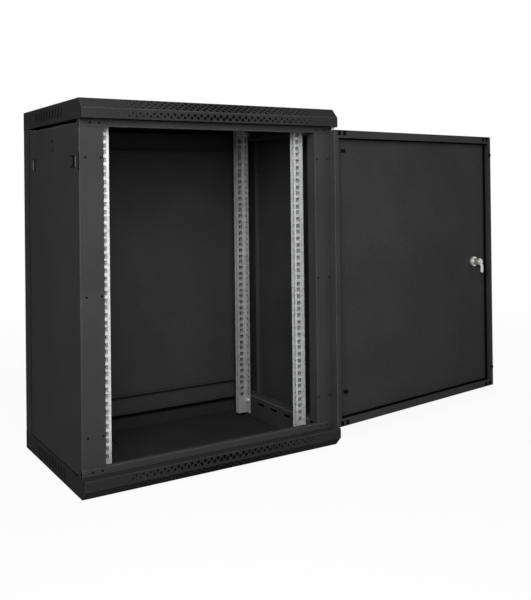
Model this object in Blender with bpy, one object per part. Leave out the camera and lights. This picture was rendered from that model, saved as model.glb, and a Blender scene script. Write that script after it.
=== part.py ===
"""Network rack cabinet, 15 rack units, front door swung open.

Origin at the middle of the base, +Z up, the front faces -Y. Lengths are metres.
"""
import bpy
import bmesh
import numpy as np
from math import radians
from mathutils import Matrix, Vector

for old in list(bpy.data.objects):
    bpy.data.objects.remove(old, do_unlink=True)

# Rack space: the 19-inch pattern that the rails carry
RACK_UNITS = 15
UNIT_HEIGHT = 0.04445
UNIT_FIRST_HOLE = 0.00635
UNIT_HOLE_STEP = 0.015875
UNIT_HOLES = 3
RAIL_HOLE_SPACING = 0.4651
RAIL_HOLE_SIZE = 0.0095

# Carcass
OPENING_WIDTH = 0.500
PILLAR_WIDTH = 0.050
FRAME_DEPTH = 0.385
COVER_OVERHANG = 0.021
COVER_HEIGHT = 0.040
CHAMFER_HEIGHT = 0.020
CHAMFER_DEPTH = 0.019
CROSSBAR_HEIGHT = 0.015
CROSSBAR_DEPTH = 0.012
RACK_SPACE_HIDDEN = 0.003375
PILLAR_FLANGE = 0.012
PILLAR_RETURN = 0.030
REAR_POST_DEPTH = 0.049
REAR_POST_LIP = 0.012
REAR_CROSSBAR_HEIGHT = 0.045
SHEET = 0.0015
CLEARANCE = 0.0003

# Side vents in the covers
VENT_COUNT = 10
VENT_PITCH = 0.0195
VENT_WIDTH = 0.007
VENT_RISE = 0.020
VENT_LEAN = 0.010

# Plates over the cable and fan openings
CABLE_OPENING = (0.220, 0.060)
CABLE_SETBACK = 0.075
FAN_OPENING = (0.260, 0.130)
FAN_SETBACK = 0.215
PLATE_LAP = 0.010

# Side beams, rails and their bolts
BEAM_HEIGHT = 0.056
BEAM_WIDTH = 0.028
SLOT_LENGTH = 0.030
SLOT_COUNT = 5
RAIL_SHEET = 0.0018
RAIL_EDGE = 0.0105
RAIL_INSET = 0.002
RAIL_WEB = 0.030
RAIL_TAIL = 0.0416
FRONT_RAIL_RECESS = 0.046
REAR_RAIL_RECESS = 0.055
BOLT_FROM_FACE = 0.020
BOLT_FROM_BEAM_EDGE = 0.041
BOLT_RADIUS = 0.003
BOLT_HEAD_RADIUS = 0.0055
BOLT_HEAD_HEIGHT = 0.004
NUT_RADIUS = 0.005
NUT_HEIGHT = 0.005

# Side panels and their latches
PANEL_FOLD = 0.012
PANEL_SET_BACK = 0.0015
PANEL_LOW_GAP = 0.0015
PANEL_HIGH_GAP = 0.0065
LATCH_FROM_EDGE = 0.034
LATCH_DROP = 0.0755
LATCH_WINDOW = (0.038, 0.024)
LATCH_PLATE = (0.056, 0.028)
LATCH_SHEET = 0.002
LATCH_TAB = (0.012, 0.020)
LATCH_PROUD = 0.0008
LATCH_BACKLASH = 0.0007
CAP_RADIUS = 0.0118
CAP_FLANGE = 0.0150
CAP_DROP = 0.0395

# Door and hinge
DOOR_SIDE_GAP = 0.002
DOOR_BOTTOM_GAP = 0.003
DOOR_TOP_GAP = 0.0075
DOOR_FRAME_GAP = 0.003
DOOR_SIDE_LIP = 0.013
DOOR_END_LIP = 0.018
DOOR_OPEN_DEGREES = 188.0
HINGE_INSET = 0.0045
PIN_RADIUS = 0.0025
PIN_REACH = 0.012
PIN_COLLAR = 0.0038
HINGE_PLATE = (0.016, 0.018, 0.0017)
LIP_SLOT = 0.011
LIP_SLOT_STEP = 0.0165
LIP_SLOT_FROM_SIDE = 0.016
LIP_SLOT_FROM_END = 0.007
BUMPER_RADIUS = 0.0045
BUMPER_HEIGHT = 0.002
BUMPER_STEM = 0.002
BUMPER_FROM_END = 0.050
BUMPER_FROM_SIDE = 0.0065
PAD_SIZE = 0.011
PAD_HEIGHT = 0.005
PAD_FROM_SIDE = 0.032
PAD_FROM_TOP = 0.047
PAD_FROM_BOTTOM = 0.074

# Cam lock in the door, placed from the edge of the opening that its cam catches
LOCK_FROM_EDGE = 0.016
LOCK_BARREL_RADIUS = 0.009
LOCK_BEZEL_RADIUS = 0.0125
LOCK_BEZEL_HEIGHT = 0.003
LOCK_BARREL_REACH = 0.0235
LOCK_NUT_RADIUS = 0.0130
LOCK_NUT_HEIGHT = 0.006
CORE_RADIUS = 0.006
CORE_STUD_RADIUS = 0.004
CAM_LENGTH = 0.032
CAM_WIDTH = 0.011
CAM_SHEET = 0.0025
CAM_SCREW_RADIUS = 0.0048
CAM_SCREW_HEIGHT = 0.003
CAM_ROOM = 0.003

# Round holes in the rear posts for hanging the cabinet
WALL_HOLE_RADIUS = 0.006
WALL_HOLE_DROP = 0.100

# Facets around a round piece, and the edge angle past which shading turns sharp
ROUND_STEPS = 20
SHARP_DEGREES = 35.0

# Planes worked out from the driving sizes: a rail's web stands at the opening's edge, and always
# outside its own holes, and a pillar reaches out from the opening or the rail, whichever is wider
rack_height = RACK_UNITS * UNIT_HEIGHT
inner_edge = OPENING_WIDTH / 2
hole_x = RAIL_HOLE_SPACING / 2
rail_inner = hole_x - RAIL_EDGE
rail_outer = max(inner_edge - RAIL_INSET, hole_x + RAIL_EDGE)
beam_inner = rail_outer + CLEARANCE
beam_outer = beam_inner + BEAM_WIDTH
half_width = max(inner_edge, rail_outer + RAIL_INSET) + PILLAR_WIDTH
frame_half = half_width - SHEET - CLEARANCE
height = rack_height - 2 * RACK_SPACE_HIDDEN + 2 * (COVER_HEIGHT + CROSSBAR_HEIGHT)
cover_front = -(FRAME_DEPTH + COVER_OVERHANG) / 2
front = cover_front + COVER_OVERHANG
back = front + FRAME_DEPTH
low_cover = COVER_HEIGHT
high_cover = height - COVER_HEIGHT
low_opening = low_cover + CROSSBAR_HEIGHT
high_opening = high_cover - CROSSBAR_HEIGHT
middle = height / 2


def paint(name, colour, roughness, metallic):
    """A plain surface of one colour."""
    material = bpy.data.materials.new(name)
    material.use_nodes = True
    shader = material.node_tree.nodes["Principled BSDF"]
    shader.inputs["Base Color"].default_value = (*colour, 1.0)
    shader.inputs["Roughness"].default_value = roughness
    shader.inputs["Metallic"].default_value = metallic
    return material


coat = paint("black_powder_coat", (0.032, 0.033, 0.035), 0.5, 0.0)
zinc = paint("zinc_plate", (0.70, 0.71, 0.72), 0.35, 1.0)
nickel = paint("bright_nickel", (0.78, 0.76, 0.72), 0.22, 1.0)
rubber = paint("black_rubber", (0.012, 0.012, 0.012), 0.8, 0.0)
plastic = paint("black_plastic", (0.02, 0.02, 0.021), 0.45, 0.0)


def add(shape, name, material, origin=(0.0, 0.0, 0.0), parent=None):
    """Turn a bmesh, drawn in the cabinet's own coordinates, into a named object."""
    bmesh.ops.remove_doubles(shape, verts=shape.verts, dist=1e-6)
    bmesh.ops.recalc_face_normals(shape, faces=shape.faces)
    bmesh.ops.translate(shape, verts=shape.verts, vec=-Vector(origin))
    mesh = bpy.data.meshes.new(name)
    shape.to_mesh(mesh)
    shape.free()
    mesh.shade_smooth()
    mesh.set_sharp_from_angle(angle=radians(SHARP_DEGREES))
    if material:
        mesh.materials.append(material)
    piece = bpy.data.objects.new(name, mesh)
    bpy.context.scene.collection.objects.link(piece)
    piece.location = Vector(origin)
    if parent:
        piece.parent = parent
        piece.location = Vector(origin) - parent.location
    return piece


def cut(piece, shape, name, operation="DIFFERENCE"):
    """Take a shape, drawn in the cabinet's own coordinates, away from a piece, or join it on."""
    cutter = add(shape, piece.name + "_" + name, None, parent=piece.parent)
    cutter.hide_render = True
    cutter.display_type = "WIRE"
    step = piece.modifiers.new(name, "BOOLEAN")
    step.operation = operation
    step.solver = "EXACT"
    step.object = cutter


def axis_empty(name, place, degrees=0.0):
    """A guide on a joint's axis that carries the pieces turning about it."""
    guide = bpy.data.objects.new(name, None)
    bpy.context.scene.collection.objects.link(guide)
    guide.location = place
    guide.rotation_euler = (0.0, 0.0, radians(degrees))
    return guide


def boxes(*spans):
    """Boxes from (x, x, y, y, z, z) spans, each with its ends in either order."""
    shape = bmesh.new()
    for x0, x1, y0, y1, z0, z1 in spans:
        size = Vector((abs(x1 - x0), abs(y1 - y0), abs(z1 - z0), 1.0))
        centre = Vector(((x0 + x1) / 2, (y0 + y1) / 2, (z0 + z1) / 2))
        place = Matrix.Translation(centre) @ Matrix.Diagonal(size)
        bmesh.ops.create_cube(shape, size=1.0, matrix=place)
    return shape


def prism(outline, lift, start, stop, shape=None):
    """Extrude a flat outline, into shape if given; lift turns a point and a height into a place."""
    shape = bmesh.new() if shape is None else shape
    lower = [shape.verts.new(lift(a, b, start)) for a, b in outline]
    upper = [shape.verts.new(lift(a, b, stop)) for a, b in outline]
    shape.faces.new(lower)
    shape.faces.new(upper)
    for i, corner in enumerate(lower):
        after = (i + 1) % len(lower)
        shape.faces.new((corner, lower[after], upper[after], upper[i]))
    return shape


def upright(a, b, level):
    return (a, b, level)


def lengthwise(a, b, level):
    return (a, level, b)


def folded(path, thickness):
    """Outline of a folded sheet whose outer face follows path, sheet on its left."""
    points = [Vector(p) for p in path]
    normals = []
    for here, there in zip(points, points[1:]):
        along = (there - here).normalized()
        normals.append(Vector((-along.y, along.x)))
    inner = [points[0] + normals[0] * thickness]
    for i in range(1, len(points) - 1):
        mitre = (normals[i - 1] + normals[i]) / (1.0 + normals[i - 1].dot(normals[i]))
        inner.append(points[i] + mitre * thickness)
    inner.append(points[-1] + normals[-1] * thickness)
    return points + inner[::-1]


def turned(profile, place):
    """Spin a closed (radius, distance) profile; place turns (a, b, distance) to a point."""
    shape = bmesh.new()
    rings = []
    for radius, distance in profile:
        if radius == 0.0:
            rings.append([shape.verts.new(place(0.0, 0.0, distance))])
            continue
        angles = np.linspace(0.0, 2 * np.pi, ROUND_STEPS, endpoint=False)
        rings.append([shape.verts.new(place(radius * np.cos(t), radius * np.sin(t), distance))
                      for t in angles])
    for near, far in zip(rings, rings[1:]):
        for i in range(ROUND_STEPS):
            j = (i + 1) % ROUND_STEPS
            ring = [near[i % len(near)], near[j % len(near)], far[j % len(far)], far[i % len(far)]]
            shape.faces.new(list(dict.fromkeys(ring)))
    return shape


def solid_pin(radii_and_ends):
    """Profile of a pin from (radius, start, stop) steps, closed at both ends."""
    profile = [(0.0, radii_and_ends[0][1])]
    for radius, start, stop in radii_and_ends:
        profile += [(radius, start), (radius, stop)]
    return profile + [(0.0, radii_and_ends[-1][2])]


def tube(outer_steps, bore, start, stop):
    """Profile of a sleeve: (radius, start, stop) steps outside, a straight bore inside."""
    profile = [(bore, start)]
    for radius, low, high in outer_steps:
        profile += [(radius, low), (radius, high)]
    return profile + [(bore, stop), (bore, start)]


def pan(name, span, wall, open_side, material, **where):
    """A shallow box of sheet, open on one side, folded from one piece."""
    piece = add(boxes(span), name, material, **where)
    inside = [span[0] + wall, span[1] - wall, span[2] + wall, span[3] - wall,
              span[4] + wall, span[5] - wall]
    reach = 2 * wall
    inside[open_side] += reach if open_side % 2 else -reach
    cut(piece, boxes(inside), "inside")
    return piece


# Covers: two folded trays, alike but turned over, with a chamfered front edge
def cover(name, level, openings):
    """Tray whose flat outer face is at z = 0, moved into place by level(z)."""
    outer = [(cover_front + CHAMFER_DEPTH, 0.0), (cover_front, CHAMFER_HEIGHT),
             (cover_front, COVER_HEIGHT), (back, COVER_HEIGHT), (back, 0.0)]
    slope = folded(outer[:3][::-1] + [(back, 0.0)], SHEET)
    ledge = front + CROSSBAR_DEPTH
    over = COVER_HEIGHT + SHEET
    inner = [slope[5], slope[6], (cover_front + SHEET, COVER_HEIGHT - SHEET),
             (ledge, COVER_HEIGHT - SHEET), (ledge, over), (back - SHEET, over), (back - SHEET, SHEET)]

    def place(a, b, along):
        return (along, a, level(b))

    tray = add(prism(outer, place, -half_width, half_width), name, coat)
    cut(tray, prism(inner, place, -half_width + SHEET, half_width - SHEET), "inside")
    vents = bmesh.new()
    first = (front + back) / 2 - VENT_PITCH * (VENT_COUNT - 1) / 2
    low = (COVER_HEIGHT - VENT_RISE) / 2
    for i in range(VENT_COUNT):
        near = first + i * VENT_PITCH - (VENT_WIDTH + VENT_LEAN) / 2
        far = near + VENT_LEAN
        slit = [(near, low), (near + VENT_WIDTH, low),
                (far + VENT_WIDTH, low + VENT_RISE), (far, low + VENT_RISE)]
        for side in (-1, 1):
            prism(slit, place, side * (half_width - 2 * SHEET), side * (half_width + SHEET), vents)
    cut(tray, vents, "vents")
    for number, (width, depth, setback) in enumerate(openings):
        y = back - setback
        cut(tray, boxes((-width / 2, width / 2, y - depth / 2, y + depth / 2,
                         level(-SHEET), level(2 * SHEET))), "opening%d" % number)
    return tray


def plate(name, width, depth, setback, level):
    """Flat plate screwed inside a cover over one of its openings."""
    y = back - setback
    low = SHEET + CLEARANCE
    add(boxes((-width / 2 - PLATE_LAP, width / 2 + PLATE_LAP,
               y - depth / 2 - PLATE_LAP, y + depth / 2 + PLATE_LAP,
               level(low), level(low + SHEET))), name, coat)


def from_floor(z):
    return z


def from_top(z):
    return height - z


cover("bottom_cover", from_floor, [(*CABLE_OPENING, CABLE_SETBACK)])
cover("top_cover", from_top, [(*CABLE_OPENING, CABLE_SETBACK), (*FAN_OPENING, FAN_SETBACK)])
plate("bottom_cable_plate", *CABLE_OPENING, CABLE_SETBACK, from_floor)
plate("top_cable_plate", *CABLE_OPENING, CABLE_SETBACK, from_top)
plate("fan_blank_plate", *FAN_OPENING, FAN_SETBACK, from_top)

# Front frame: two crossbars with a pillar between them at each side
for name, low, high in (("front_bottom_crossbar", low_cover + CLEARANCE, low_opening),
                        ("front_top_crossbar", high_opening, high_cover - CLEARANCE)):
    pan(name, (-frame_half, frame_half, front, front + CROSSBAR_DEPTH, low, high), SHEET, 3, coat)

lock_x = -inner_edge + LOCK_FROM_EDGE
cam_front = front - COVER_OVERHANG + SHEET + LOCK_BARREL_REACH + CLEARANCE
cam_back = cam_front + CAM_SHEET


def side_name(side):
    return "left" if side < 0 else "right"


for side in (-1, 1):
    path = [(frame_half, front + PILLAR_FLANGE), (frame_half, front),
            (inner_edge, front), (inner_edge, front + PILLAR_RETURN)]
    section = [(side * x, y) for x, y in folded(path, -SHEET)]
    pillar = add(prism(section, upright, low_opening + CLEARANCE, high_opening - CLEARANCE),
                 "front_%s_pillar" % side_name(side), coat)
    if side < 0:
        cut(pillar, boxes((-inner_edge - 2 * SHEET, -inner_edge + SHEET,
                           cam_front - CAM_ROOM, cam_back + CAM_ROOM,
                           middle - CAM_LENGTH - CAM_ROOM, middle + CAM_WIDTH / 2 + CAM_ROOM)),
            "cam_slot")

# Rear frame: two angle posts, two crossbars and the panel between them
for side in (-1, 1):
    path = [(half_width, back - REAR_POST_DEPTH), (half_width, back),
            (inner_edge, back), (inner_edge, back - REAR_POST_LIP)]
    section = [(side * x, y) for x, y in folded(path, SHEET)]
    post = add(prism(section, upright, low_cover + CLEARANCE, high_cover - CLEARANCE),
               "rear_%s_post" % side_name(side), coat)
    holes = bmesh.new()
    for z in (low_cover + WALL_HOLE_DROP, high_cover - WALL_HOLE_DROP):
        hole = Matrix.Translation((side * (inner_edge + half_width) / 2, back, z))
        turn = Matrix.Rotation(radians(90), 4, "X")
        bmesh.ops.create_cone(holes, cap_ends=True, segments=ROUND_STEPS, radius1=WALL_HOLE_RADIUS,
                              radius2=WALL_HOLE_RADIUS, depth=4 * SHEET, matrix=hole @ turn)
    cut(post, holes, "wall_holes")

rear_half = inner_edge - CLEARANCE
low_panel = low_cover + REAR_CROSSBAR_HEIGHT
high_panel = high_cover - REAR_CROSSBAR_HEIGHT
rear_span = (-rear_half, rear_half, back - REAR_POST_LIP, back)
pan("rear_bottom_crossbar", (*rear_span, low_cover + CLEARANCE, low_panel), SHEET, 2, coat)
pan("rear_top_crossbar", (*rear_span, high_panel, high_cover - CLEARANCE), SHEET, 2, coat)
pan("rear_panel", (*rear_span, low_panel + CLEARANCE, high_panel - CLEARANCE), SHEET, 2, coat)

# Side beams, rails and the bolts that clamp a rail's web to its beams
rack_floor = middle - rack_height / 2
low_beam = SHEET + CLEARANCE
high_beam = height - low_beam - BEAM_HEIGHT
beam_front = front + PILLAR_RETURN + CLEARANCE
beam_back = back - REAR_POST_LIP - CLEARANCE
front_bolt_y = front + FRONT_RAIL_RECESS + BOLT_FROM_FACE
rear_bolt_y = back - REAR_RAIL_RECESS - BOLT_FROM_FACE
bolt_hole = BOLT_RADIUS + CLEARANCE
bolt_rise = low_beam + BOLT_FROM_BEAM_EDGE
bolt_levels = (("lower", bolt_rise), ("upper", height - bolt_rise))


def across(side, start, y, z):
    """Placing function for a turned piece that points outwards along X from start."""
    def place(a, b, distance):
        return (side * (start + distance), y + a, z + b)
    return place


for side in (-1, 1):
    for (level_name, bolt_z), beam_low in zip(bolt_levels, (low_beam, high_beam)):
        path = [(beam_outer, beam_low), (beam_inner, beam_low),
                (beam_inner, beam_low + BEAM_HEIGHT), (beam_outer, beam_low + BEAM_HEIGHT)]
        section = [(side * x, z) for x, z in folded(path, -SHEET)]
        beam = add(prism(section, lengthwise, beam_front, beam_back),
                   "%s_%s_beam" % (side_name(side), level_name), coat)
        slots = boxes(*[(side * (beam_inner - SHEET), side * (beam_inner + 2 * SHEET),
                         y - SLOT_LENGTH / 2, y + SLOT_LENGTH / 2, bolt_z - bolt_hole, bolt_z + bolt_hole)
                        for y in np.linspace(front_bolt_y, rear_bolt_y, SLOT_COUNT)])
        cut(beam, slots, "slots")

    for end, face, sign, bolt_y in (("front", front + FRONT_RAIL_RECESS, 1, front_bolt_y),
                                    ("rear", back - REAR_RAIL_RECESS, -1, rear_bolt_y)):
        path = [(rail_inner, face), (rail_outer, face), (rail_outer, face + sign * RAIL_WEB)]
        section = [(side * x, y) for x, y in folded(path, sign * RAIL_SHEET)]
        rail = add(prism(section, upright, rack_floor - RAIL_TAIL, rack_floor + rack_height + RAIL_TAIL),
                   "%s_%s_rail" % (end, side_name(side)), zinc)
        reach = RAIL_HOLE_SIZE / 2
        squares = []
        for unit in range(RACK_UNITS):
            for hole in range(UNIT_HOLES):
                z = rack_floor + unit * UNIT_HEIGHT + UNIT_FIRST_HOLE + hole * UNIT_HOLE_STEP
                squares.append((side * hole_x - reach, side * hole_x + reach,
                                face - 2 * RAIL_SHEET, face + 2 * RAIL_SHEET, z - reach, z + reach))
        cut(rail, boxes(*squares), "squares")
        for level_name, bolt_z in bolt_levels:
            inside = rail_outer - RAIL_SHEET
            hole = turned(solid_pin([(bolt_hole, -RAIL_SHEET, 2 * RAIL_SHEET)]),
                          across(side, inside, bolt_y, bolt_z))
            cut(rail, hole, level_name + "_bolt_hole")
            grip = RAIL_SHEET + CLEARANCE + SHEET + CLEARANCE
            steps = [(BOLT_HEAD_RADIUS, -BOLT_HEAD_HEIGHT - CLEARANCE, -CLEARANCE),
                     (BOLT_RADIUS, -CLEARANCE, grip), (NUT_RADIUS, grip, grip + NUT_HEIGHT)]
            add(turned(solid_pin(steps), across(side, inside, bolt_y, bolt_z)),
                "%s_%s_%s_bolt" % (end, side_name(side), level_name), zinc)

# Side panels: a sheet stiffened by a fold, with two slide latches and a cap over the lock hole
panel_front = front + PANEL_SET_BACK
fold_front = front + PILLAR_FLANGE + 2 * CLEARANCE
panel_back = back - REAR_POST_DEPTH - CLEARANCE
panel_low = low_cover + PANEL_LOW_GAP
panel_high = high_cover - PANEL_HIGH_GAP
latch_z = panel_high - LATCH_DROP
cap_z = panel_high - CAP_DROP
panel_y = (front + panel_back) / 2
sheet_inner = half_width - SHEET
latch_outer = frame_half - SHEET - CLEARANCE
latch_inner = latch_outer - LATCH_SHEET
half_plate = LATCH_PLATE[1] / 2
window_y, window_z = LATCH_WINDOW
for side in (-1, 1):
    name = side_name(side)
    panel = add(boxes((side * (half_width - PANEL_FOLD), side * half_width,
                       fold_front, panel_back, panel_low, panel_high)), name + "_side_panel", coat)
    cut(panel, boxes((side * (half_width - PANEL_FOLD - SHEET), side * sheet_inner,
                      fold_front + SHEET, panel_back - SHEET,
                      panel_low + SHEET, panel_high - SHEET)), "inside")
    cut(panel, boxes((side * sheet_inner, side * half_width, panel_front, fold_front + SHEET,
                      panel_low, panel_high)), "front_edge", "UNION")
    cut(panel, turned(solid_pin([(CAP_RADIUS + CLEARANCE, -SHEET, 2 * SHEET)]),
                      across(side, sheet_inner, panel_y, cap_z)), "cap_hole")
    add(turned(solid_pin([(CAP_FLANGE, -CLEARANCE - SHEET, -CLEARANCE),
                          (CAP_RADIUS, -CLEARANCE, SHEET + CLEARANCE)]),
               across(side, sheet_inner, panel_y, cap_z)), name + "_side_cap", coat)
    for end, edge, fold, sign in (("front", panel_front, fold_front, 1),
                                  ("rear", panel_back, panel_back, -1)):
        centre = edge + sign * LATCH_FROM_EDGE
        cut(panel, boxes((side * (sheet_inner - SHEET), side * (half_width + SHEET),
                          centre - window_y / 2, centre + window_y / 2,
                          latch_z - window_z / 2, latch_z + window_z / 2)), end + "_window")
        cut(panel, boxes((side * (latch_inner - CLEARANCE), side * (latch_outer + CLEARANCE),
                          fold - sign * SHEET, fold + sign * 2 * SHEET,
                          latch_z - half_plate - CLEARANCE,
                          latch_z + half_plate + CLEARANCE)), end + "_slot")
        tip = fold + sign * LATCH_BACKLASH
        tab_end = centre + sign * (window_y / 2 - CLEARANCE)
        latch = add(boxes((side * latch_inner, side * latch_outer, tip, tip + sign * LATCH_PLATE[0],
                           latch_z - half_plate, latch_z + half_plate)),
                    "%s_%s_latch" % (name, end), plastic)
        cut(latch, boxes((side * (latch_outer - LATCH_SHEET / 2), side * (half_width - LATCH_PROUD),
                          tab_end - sign * LATCH_TAB[0], tab_end,
                          latch_z - LATCH_TAB[1] / 2, latch_z + LATCH_TAB[1] / 2)), "tab", "UNION")

# Hinge: a plate under the top cover's ledge and one on the bottom cover's, each with a pin
door_half = half_width - DOOR_SIDE_GAP
door_front = cover_front
door_back = front - DOOR_FRAME_GAP
door_low = low_cover + DOOR_BOTTOM_GAP
door_high = high_cover - DOOR_TOP_GAP
hinge_x = door_half - HINGE_INSET
hinge_y = (door_front + door_back) / 2
plate_x, plate_y, plate_z = HINGE_PLATE


def standing(x, y):
    """Placing function for a turned piece on an upright axis."""
    def place(a, b, distance):
        return (x + a, y + b, distance)
    return place


low_plate = low_cover + CLEARANCE
high_plate = high_cover - CLEARANCE - plate_z
for name, low in (("bottom_hinge_plate", low_plate), ("top_hinge_plate", high_plate)):
    hinge = add(boxes((half_width - SHEET - plate_x, half_width - SHEET,
                       hinge_y - plate_y / 2, hinge_y + plate_y / 2, low, low + plate_z)), name, zinc)
    cut(hinge, turned(solid_pin([(PIN_RADIUS + CLEARANCE, low - SHEET, low + plate_z + SHEET)]),
                      standing(hinge_x, hinge_y)), "pin_hole")
collar_low = door_high + (high_plate - door_high) / 2
add(turned(solid_pin([(PIN_RADIUS, low_plate, door_low + SHEET + PIN_REACH)]),
           standing(hinge_x, hinge_y)), "bottom_hinge_pin", zinc)
add(turned(solid_pin([(PIN_RADIUS, door_high - SHEET - PIN_REACH, collar_low),
                      (PIN_COLLAR, collar_low, high_plate - CLEARANCE),
                      (PIN_RADIUS, high_plate - CLEARANCE, high_plate + plate_z)]),
           standing(hinge_x, hinge_y)), "top_hinge_pin", zinc)

# Door: one folded tray with return lips, drawn shut and swung open about the hinge axis
door_axis = axis_empty("door_hinge_axis", (hinge_x, hinge_y, 0.0), DOOR_OPEN_DEGREES)
on_axis = {"origin": (hinge_x, hinge_y, 0.0), "parent": door_axis}
door = add(boxes((-door_half, door_half, door_front, door_back, door_low, door_high)),
           "door_shell", coat, **on_axis)

lip_back = door_back + SHEET
cut(door, boxes((-door_half + SHEET, door_half - SHEET, door_front + SHEET, door_back - SHEET,
                door_low + SHEET, door_high - SHEET)), "inside")
cut(door, boxes((-door_half + DOOR_SIDE_LIP, door_half - DOOR_SIDE_LIP, door_front + 2 * SHEET, lip_back,
                door_low + DOOR_END_LIP, door_high - DOOR_END_LIP)), "mouth")
lip_slots = []
for z in (door_low + LIP_SLOT_FROM_END, door_high - LIP_SLOT_FROM_END):
    for side in (-1, 1):
        for step in (0, 1):
            x = side * (door_half - LIP_SLOT_FROM_SIDE - step * LIP_SLOT_STEP)
            lip_slots.append((x - LIP_SLOT / 2, x + LIP_SLOT / 2, door_back - 2 * SHEET, lip_back,
                              z - LIP_SLOT / 2, z + LIP_SLOT / 2))
cut(door, boxes(*lip_slots), "lip_slots")
cut(door, turned(solid_pin([(PIN_RADIUS + CLEARANCE, door_low - SHEET, door_low + 2 * SHEET)]),
                standing(hinge_x, hinge_y)), "low_pin_hole")
cut(door, turned(solid_pin([(PIN_RADIUS + CLEARANCE, door_high - 2 * SHEET, door_high + SHEET)]),
                standing(hinge_x, hinge_y)), "high_pin_hole")


def inwards(x, start, z):
    """Placing function for a turned piece that points into the cabinet along Y."""
    def place(a, b, distance):
        return (x + a, start + distance, z + b)
    return place


free_x = -door_half + BUMPER_FROM_SIDE
for level_name, z in (("lower", door_low + BUMPER_FROM_END), ("upper", door_high - BUMPER_FROM_END)):
    cut(door, turned(solid_pin([(BUMPER_STEM + CLEARANCE, -2 * SHEET, SHEET)]),
                     inwards(free_x, door_back, z)), level_name + "_stem_hole")
    add(turned(solid_pin([(BUMPER_STEM, -2 * SHEET, CLEARANCE),
                          (BUMPER_RADIUS, CLEARANCE, CLEARANCE + BUMPER_HEIGHT)]),
               inwards(free_x, door_back, z)), level_name + "_door_bumper", rubber, **on_axis)
pad_x = door_half - PAD_FROM_SIDE
pad_floor = door_front + SHEET + CLEARANCE
for level_name, z in (("lower", door_low + PAD_FROM_BOTTOM), ("upper", door_high - PAD_FROM_TOP)):
    add(boxes((pad_x - PAD_SIZE / 2, pad_x + PAD_SIZE / 2, pad_floor, pad_floor + PAD_HEIGHT,
               z - PAD_SIZE / 2, z + PAD_SIZE / 2)), level_name + "_door_pad", rubber, **on_axis)

# Cam lock: barrel and nut stay on the door, core, cam and screw turn together
cut(door, turned(solid_pin([(LOCK_BARREL_RADIUS + CLEARANCE, -SHEET, 2 * SHEET)]),
                inwards(lock_x, door_front, middle)), "lock_hole")
barrel_end = SHEET + LOCK_BARREL_REACH
bezel = -LOCK_BEZEL_HEIGHT - CLEARANCE
core_bore = CORE_RADIUS + CLEARANCE
at_lock = inwards(lock_x, door_front, middle)
add(turned(tube([(LOCK_BEZEL_RADIUS, bezel, -CLEARANCE), (LOCK_BARREL_RADIUS, -CLEARANCE, barrel_end)],
                core_bore, bezel, barrel_end), at_lock), "lock_barrel", nickel, **on_axis)
nut_start = SHEET + CLEARANCE
add(turned(tube([(LOCK_NUT_RADIUS, nut_start, nut_start + LOCK_NUT_HEIGHT)],
                LOCK_BARREL_RADIUS + CLEARANCE, nut_start, nut_start + LOCK_NUT_HEIGHT), at_lock),
    "lock_nut", nickel, **on_axis)
stud_end = barrel_end + CAM_SHEET
on_lock = {"origin": (lock_x, door_front, middle), "parent": door_axis}
core_steps = [(CORE_RADIUS, bezel, barrel_end), (CORE_STUD_RADIUS, barrel_end, stud_end)]
add(turned(solid_pin(core_steps), at_lock), "lock_core", nickel, **on_lock)
cam_near = barrel_end + CLEARANCE
cam_round = np.linspace(0.0, np.pi, ROUND_STEPS // 2 + 1)
half_cam = CAM_WIDTH / 2
cam_outline = [(lock_x + half_cam * np.cos(t), middle + half_cam * np.sin(t)) for t in cam_round]
cam_outline += [(lock_x - half_cam, middle - CAM_LENGTH), (lock_x + half_cam, middle - CAM_LENGTH)]
cam = add(prism(cam_outline, lengthwise, door_front + cam_near, door_front + cam_near + CAM_SHEET),
          "lock_cam", zinc, **on_lock)
cut(cam, turned(solid_pin([(CORE_STUD_RADIUS + CLEARANCE, cam_near - SHEET, cam_near + 2 * CAM_SHEET)]),
                at_lock), "stud_hole")
screw_start = cam_near + CAM_SHEET + CLEARANCE
add(turned(solid_pin([(CAM_SCREW_RADIUS, screw_start, screw_start + CAM_SCREW_HEIGHT)]), at_lock),
    "cam_screw", zinc, **on_lock)
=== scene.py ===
import math

import bmesh
import bpy
from mathutils import Euler, Matrix, Vector


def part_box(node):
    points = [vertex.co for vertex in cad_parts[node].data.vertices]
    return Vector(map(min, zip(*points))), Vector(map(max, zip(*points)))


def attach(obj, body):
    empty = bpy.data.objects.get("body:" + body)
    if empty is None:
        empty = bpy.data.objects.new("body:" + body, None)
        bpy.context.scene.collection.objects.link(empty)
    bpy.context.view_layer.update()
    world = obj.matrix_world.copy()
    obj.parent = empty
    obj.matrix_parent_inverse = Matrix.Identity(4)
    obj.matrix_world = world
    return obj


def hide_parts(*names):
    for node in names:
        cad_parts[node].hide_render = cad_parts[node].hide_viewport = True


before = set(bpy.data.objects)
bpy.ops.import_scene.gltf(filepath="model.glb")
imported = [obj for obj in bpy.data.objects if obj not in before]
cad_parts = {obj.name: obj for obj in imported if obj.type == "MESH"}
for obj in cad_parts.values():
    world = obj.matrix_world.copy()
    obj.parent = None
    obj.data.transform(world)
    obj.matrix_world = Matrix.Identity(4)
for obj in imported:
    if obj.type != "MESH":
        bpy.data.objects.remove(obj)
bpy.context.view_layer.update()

# The photograph's camera stands to the left of the open front, a little above half height. The lens is
# shifted so that the uprights stay parallel in the picture.
CAMERA_PLACE = (-0.8130, -1.7146, 0.5982)
CAMERA_YAW = math.radians(32.642)
CAMERA_PITCH = math.radians(0.328)
CAMERA_ROLL = math.radians(-0.631)
LENS = 49.18
LENS_SHIFT = (-0.0325, -0.2)
FARTHEST_SEEN = 50.0

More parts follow.
